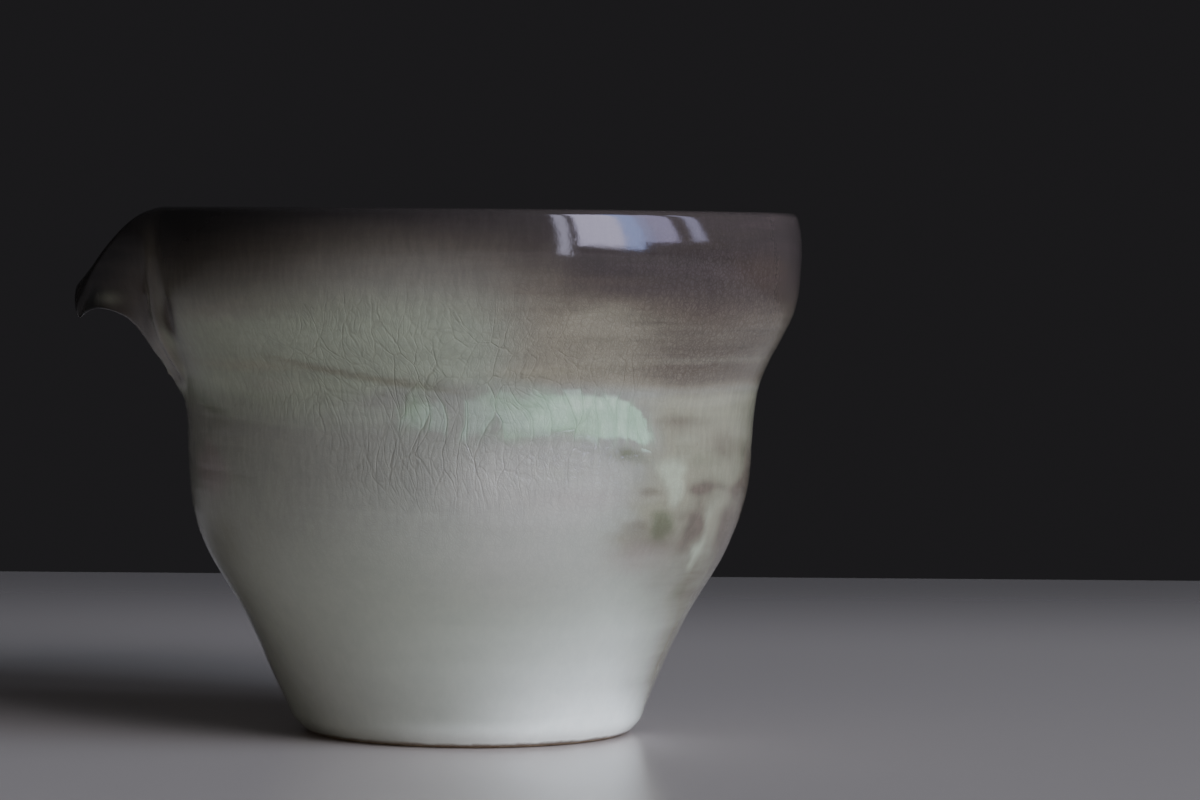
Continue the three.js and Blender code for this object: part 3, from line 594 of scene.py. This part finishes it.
# iron-dark band under the lip
bandw = g.math("ADD", v["band"], g.times(g.math("SUBTRACT", brushed, .5), g.ramp(v["tone"], .0, 1.0, .10, .34), g.ramp(v["band"], .0, .25)), clamp=True)
amber = g.mix(v["tone"], (.200, .170, .140), (.130, .100, .080))
iron = g.mix(v["tone"], (.022, .020, .020), g.mix(g.ramp(brushed, .35, .7), (.050, .040, .040), (.072, .055, .054)))
base = g.mix(g.math("MULTIPLY", bandw, 1.15, clamp=True), base, amber)
base = g.mix(g.math("POWER", bandw, g.math("ADD", 1.6, g.times(v["tone"], .7))), base, iron)
base = g.mix(g.times(v["rust"], .55), base, (.150, .105, .084))
base = g.mix(g.times(v["joint"], .85), base, g.mix(g.ramp(zmm, 57.5, 53.0), (.125, .110, .090), (.325, .300, .255)))
# dark pooled glaze and painted shade in the slit and crease behind the spout's joint
base = g.mix(g.times(v["pool"], .95), base, (.052, .038, .026))
# painted reflection of the dark surroundings at the spout's tip
base = g.mix(g.times(v["tip"], .9), base, (.018, .018, .017))
base = g.mix(g.times(v["drip"], .45), base, (.25, .26, .20))

# colour of the crackle and the small grain of the glaze
base = g.mix(g.math("ADD", g.times(cracks, .26), g.times(crack_c, v["dusk"], .22)), base, g.mix(1.0, base, (.44, .38, .35), "MULTIPLY"))
base = g.mix(g.times(g.ramp(hair, .35, .68), g.ramp(zmm, 22.0, 42.0, .25, 1.0)), base, g.mix(1.0, base, (1.11, 1.11, 1.10), "MULTIPLY"))
base = g.mix(g.ramp(mottle, .3, .75, .0, .5), base, g.mix(1.0, base, (1.10, 1.09, 1.08), "MULTIPLY"))
base = g.mix(g.times(g.ramp(fleck, .66, .76), .30, g.ramp(zmm, 22.0, 40.0)), base, g.mix(1.0, base, (.55, .50, .46), "MULTIPLY"))
# thin brown line where the glaze ends at the foot
base = g.mix(g.ramp(g.math("ADD", zmm, g.times(mottle, .7)), 1.25, .75), base, (.30, .25, .20))
g.link(base, g.bsdf.inputs["Base Color"])
g.bsdf.inputs["IOR"].default_value = 1.5
# the glaze is thin and duller on the spout's flank
thin = g.math("MAXIMUM", g.math("MAXIMUM", v["flank"], v["tip"]), g.math("MULTIPLY", v["pool"], 1.0, clamp=True))
g.link(g.math("SUBTRACT", .5, g.times(thin, .30)), g.bsdf.inputs["Specular IOR Level"])
g.link(g.math("ADD", .075, g.times(g.math("MAXIMUM", v["tip"], g.times(v["flank"], .3)), .34)), g.bsdf.inputs["Roughness"])

groove = g.math("ADD", g.math("ADD", g.times(crack_a, -1.0), g.times(crack_b, -.6)), g.math("ADD", g.times(crack_c, -.55), g.times(crack_d, -.42)))
fine_b = g.add("ShaderNodeBump")
fine_b.inputs["Strength"].default_value = 1.0
fine_b.inputs["Distance"].default_value = .000036
# under the lip the glaze ran thick and lies smooth
g.link(g.times(groove, g.ramp(v["band"], .35, .85, 1.0, .15)), fine_b.inputs["Height"])
soft_b = g.add("ShaderNodeBump")
soft_b.inputs["Strength"].default_value = 1.0
soft_b.inputs["Distance"].default_value = .00002
wavy = g.math("ADD", g.noise(tc, 190.0, 2, .5), g.math("ADD", g.times(g.noise(tc, 900.0, 2, .5), .05), g.times(hair, .04)))
g.link(g.math("ADD", wavy, g.times(brushed, .25)), soft_b.inputs["Height"])
g.link(fine_b.outputs[0], soft_b.inputs["Normal"])
g.link(soft_b.outputs[0], g.bsdf.inputs["Normal"])
glaze.data.materials.append(g.mat)

c = Nodes("bare_stoneware")
tc2 = c.add("ShaderNodeTexCoord").outputs["Object"]
n1 = c.noise(tc2, 420.0, 5, .7)
n2 = c.noise(tc2, 1600.0, 3, .7)
col = c.mix(c.ramp(n1, .35, .7), (.30, .21, .14), (.46, .36, .26))
col = c.mix(c.ramp(n2, .62, .74), col, (.12, .08, .06))
c.link(col, c.bsdf.inputs["Base Color"])
c.bsdf.inputs["Roughness"].default_value = .85
b2 = c.add("ShaderNodeBump")
b2.inputs["Strength"].default_value = .5
b2.inputs["Distance"].default_value = .0002
c.link(n2, b2.inputs["Height"])
c.link(b2.outputs[0], c.bsdf.inputs["Normal"])
foot.data.materials.append(c.mat)

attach(glaze, "root")
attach(foot, "root")
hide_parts("outer_glaze", "liner_glaze", "spout", "spout_seam")
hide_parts("thrown_body")

# ---------------------------------------------------------------- floor, light, camera
fm = bpy.data.meshes.new("floor")
fm.from_pydata([(-2, -2, 0), (2, -2, 0), (2, .265, 0), (-2, .265, 0)], [], [(0, 1, 2, 3)])
floor = bpy.data.objects.new("floor", fm)
floor.rotation_euler = (0, 0, math.radians(-4.5))
bpy.context.scene.collection.objects.link(floor)
f = Nodes("pale_floor")
at_floor = f.add("ShaderNodeSeparateXYZ")
f.link(f.add("ShaderNodeTexCoord").outputs["Object"], at_floor.inputs[0])
# painted shade: the floor's colour darkens towards its far edge
f.link(f.mix(f.ramp(at_floor.outputs[1], .11, .265), (.61, .545, .53), (.30, .27, .265)), f.bsdf.inputs["Base Color"])
f.bsdf.inputs["Roughness"].default_value = .18
f.bsdf.inputs["IOR"].default_value = 1.5
floor.data.materials.append(f.mat)

world = bpy.data.worlds.new("world")
bpy.context.scene.world = world
world.use_nodes = True
world.node_tree.nodes["Background"].inputs[0].default_value = (1.0, .96, 1.05, 1)
world.node_tree.nodes["Background"].inputs[1].default_value = .015


def softbox(name, at, to, size, power, color=(1, 1, 1)):
    light = bpy.data.lights.new(name, "AREA")
    light.shape = "RECTANGLE"
    light.size, light.size_y = size
    light.energy = power
    light.color = color
    ob = bpy.data.objects.new(name, light)
    ob.location = at
    ob.rotation_euler = (Vector(to) - Vector(at)).to_track_quat("-Z", "Y").to_euler()
    bpy.context.scene.collection.objects.link(ob)
    return ob


def around(azimuth, distance, height):
    """Point at a distance from the pitcher. azimuth is in degrees from the front towards the right."""
    a = math.radians(azimuth)
    return Vector((math.sin(a) * distance + AXIS_X / 1000, -math.cos(a) * distance, height))


def pane(name, first, last, low, high, radiance, color, away=1.0, roll=0.0, gloss=False):
    """Upright soft light that faces the pitcher and spans the azimuths from first to last. low and high are for each metre of distance."""
    middle, half = (first + last) / 2, math.radians((last - first) / 2)
    at = around(middle, away, (low + high) / 2 * away)
    size = (2 * away * math.tan(half), (high - low) * away)
    ob = softbox(name, at, around(middle, 0, (low + high) / 2 * away), size, radiance * math.pi * size[0] * size[1], color)
    ob.rotation_euler = (ob.rotation_euler.to_matrix() @ Matrix.Rotation(math.radians(roll), 3, "Z")).to_euler()
    if gloss:
        ob.visible_diffuse = False
        ob.light_linking.receiver_collection = glazed
    else:
        ob.visible_glossy = False
    return ob


glazed = bpy.data.collections.new("glazed")
glazed.objects.link(glaze)
# a tall soft light at the right, in panels side by side, and a low soft fill from the left
pane("soft_a", 25.2, 49.0, .035, 1.05, 7.3, (.925, .965, 1.06), 2.0)
pane("soft_b", 49.0, 70.0, .110, 1.03, 6.5, (.83, .965, 1.14), 2.0)
pane("soft_c", 76.5, 83.5, .180, .85, 4.8, (.86, .96, 1.13), 2.0)
pane("fill", -62, 18, .03, .38, .62, (.985, .985, .90))
pane("back", 150, 240, .067, 1.067, .10, (.95, .98, 1.05), 1.5)
# the same panels as the glaze mirrors them
pane("gloss_a", 25.1, 29.0, .01, .95, 5.4, (1.02, 1.0, 1.34), roll=-1.8, gloss=True)
pane("gloss_b", 31.9, 49.0, .125, 1.05, 7.9, (1.04, 1.0, 1.38), roll=-1.5, gloss=True)
pane("gloss_c", 49.0, 56.4, .110, 1.05, 5.2, (.79, 1.0, 1.90), roll=-1.2, gloss=True)
pane("gloss_d", 56.4, 60.5, .175, 1.05, 3.8, (.93, 1.0, 1.72), roll=-.6, gloss=True)
pane("gloss_e", 60.5, 70.0, .175, .95, 3.5, (1.06, 1.0, 1.62), gloss=True)
pane("gloss_f", 76.5, 82.0, .180, .85, 3.0, (1.0, 1.0, 1.55), gloss=True)

cam = bpy.data.cameras.new("camera")
cam.sensor_fit = "HORIZONTAL"
cam.sensor_width = 36
cam.lens = 126.287
cam.clip_start = .01
cam_ob = bpy.data.objects.new("camera", cam)
bpy.context.scene.collection.objects.link(cam_ob)
pitch, yaw, roll, turn = .0385660, .0306846, .0096549, math.radians(4.0)
forward = Vector((math.sin(yaw) * math.cos(pitch), math.cos(yaw) * math.cos(pitch), -math.sin(pitch)))
right = Vector((math.cos(yaw), -math.sin(yaw), 0))
up = right.cross(forward)
r2 = right * math.cos(roll) + up * math.sin(roll)
u2 = -right * math.sin(roll) + up * math.cos(roll)
spin = Matrix.Rotation(-turn, 3, "Z")
r2, u2, forward = spin @ r2, spin @ u2, spin @ forward
place = spin @ Vector((0, -.580, .0680507)) + Vector((AXIS_X / 1000, 0, 0))
m = Matrix((r2, u2, -forward)).transposed().to_4x4()
m.translation = place
cam_ob.matrix_world = m
bpy.context.scene.camera = cam_ob
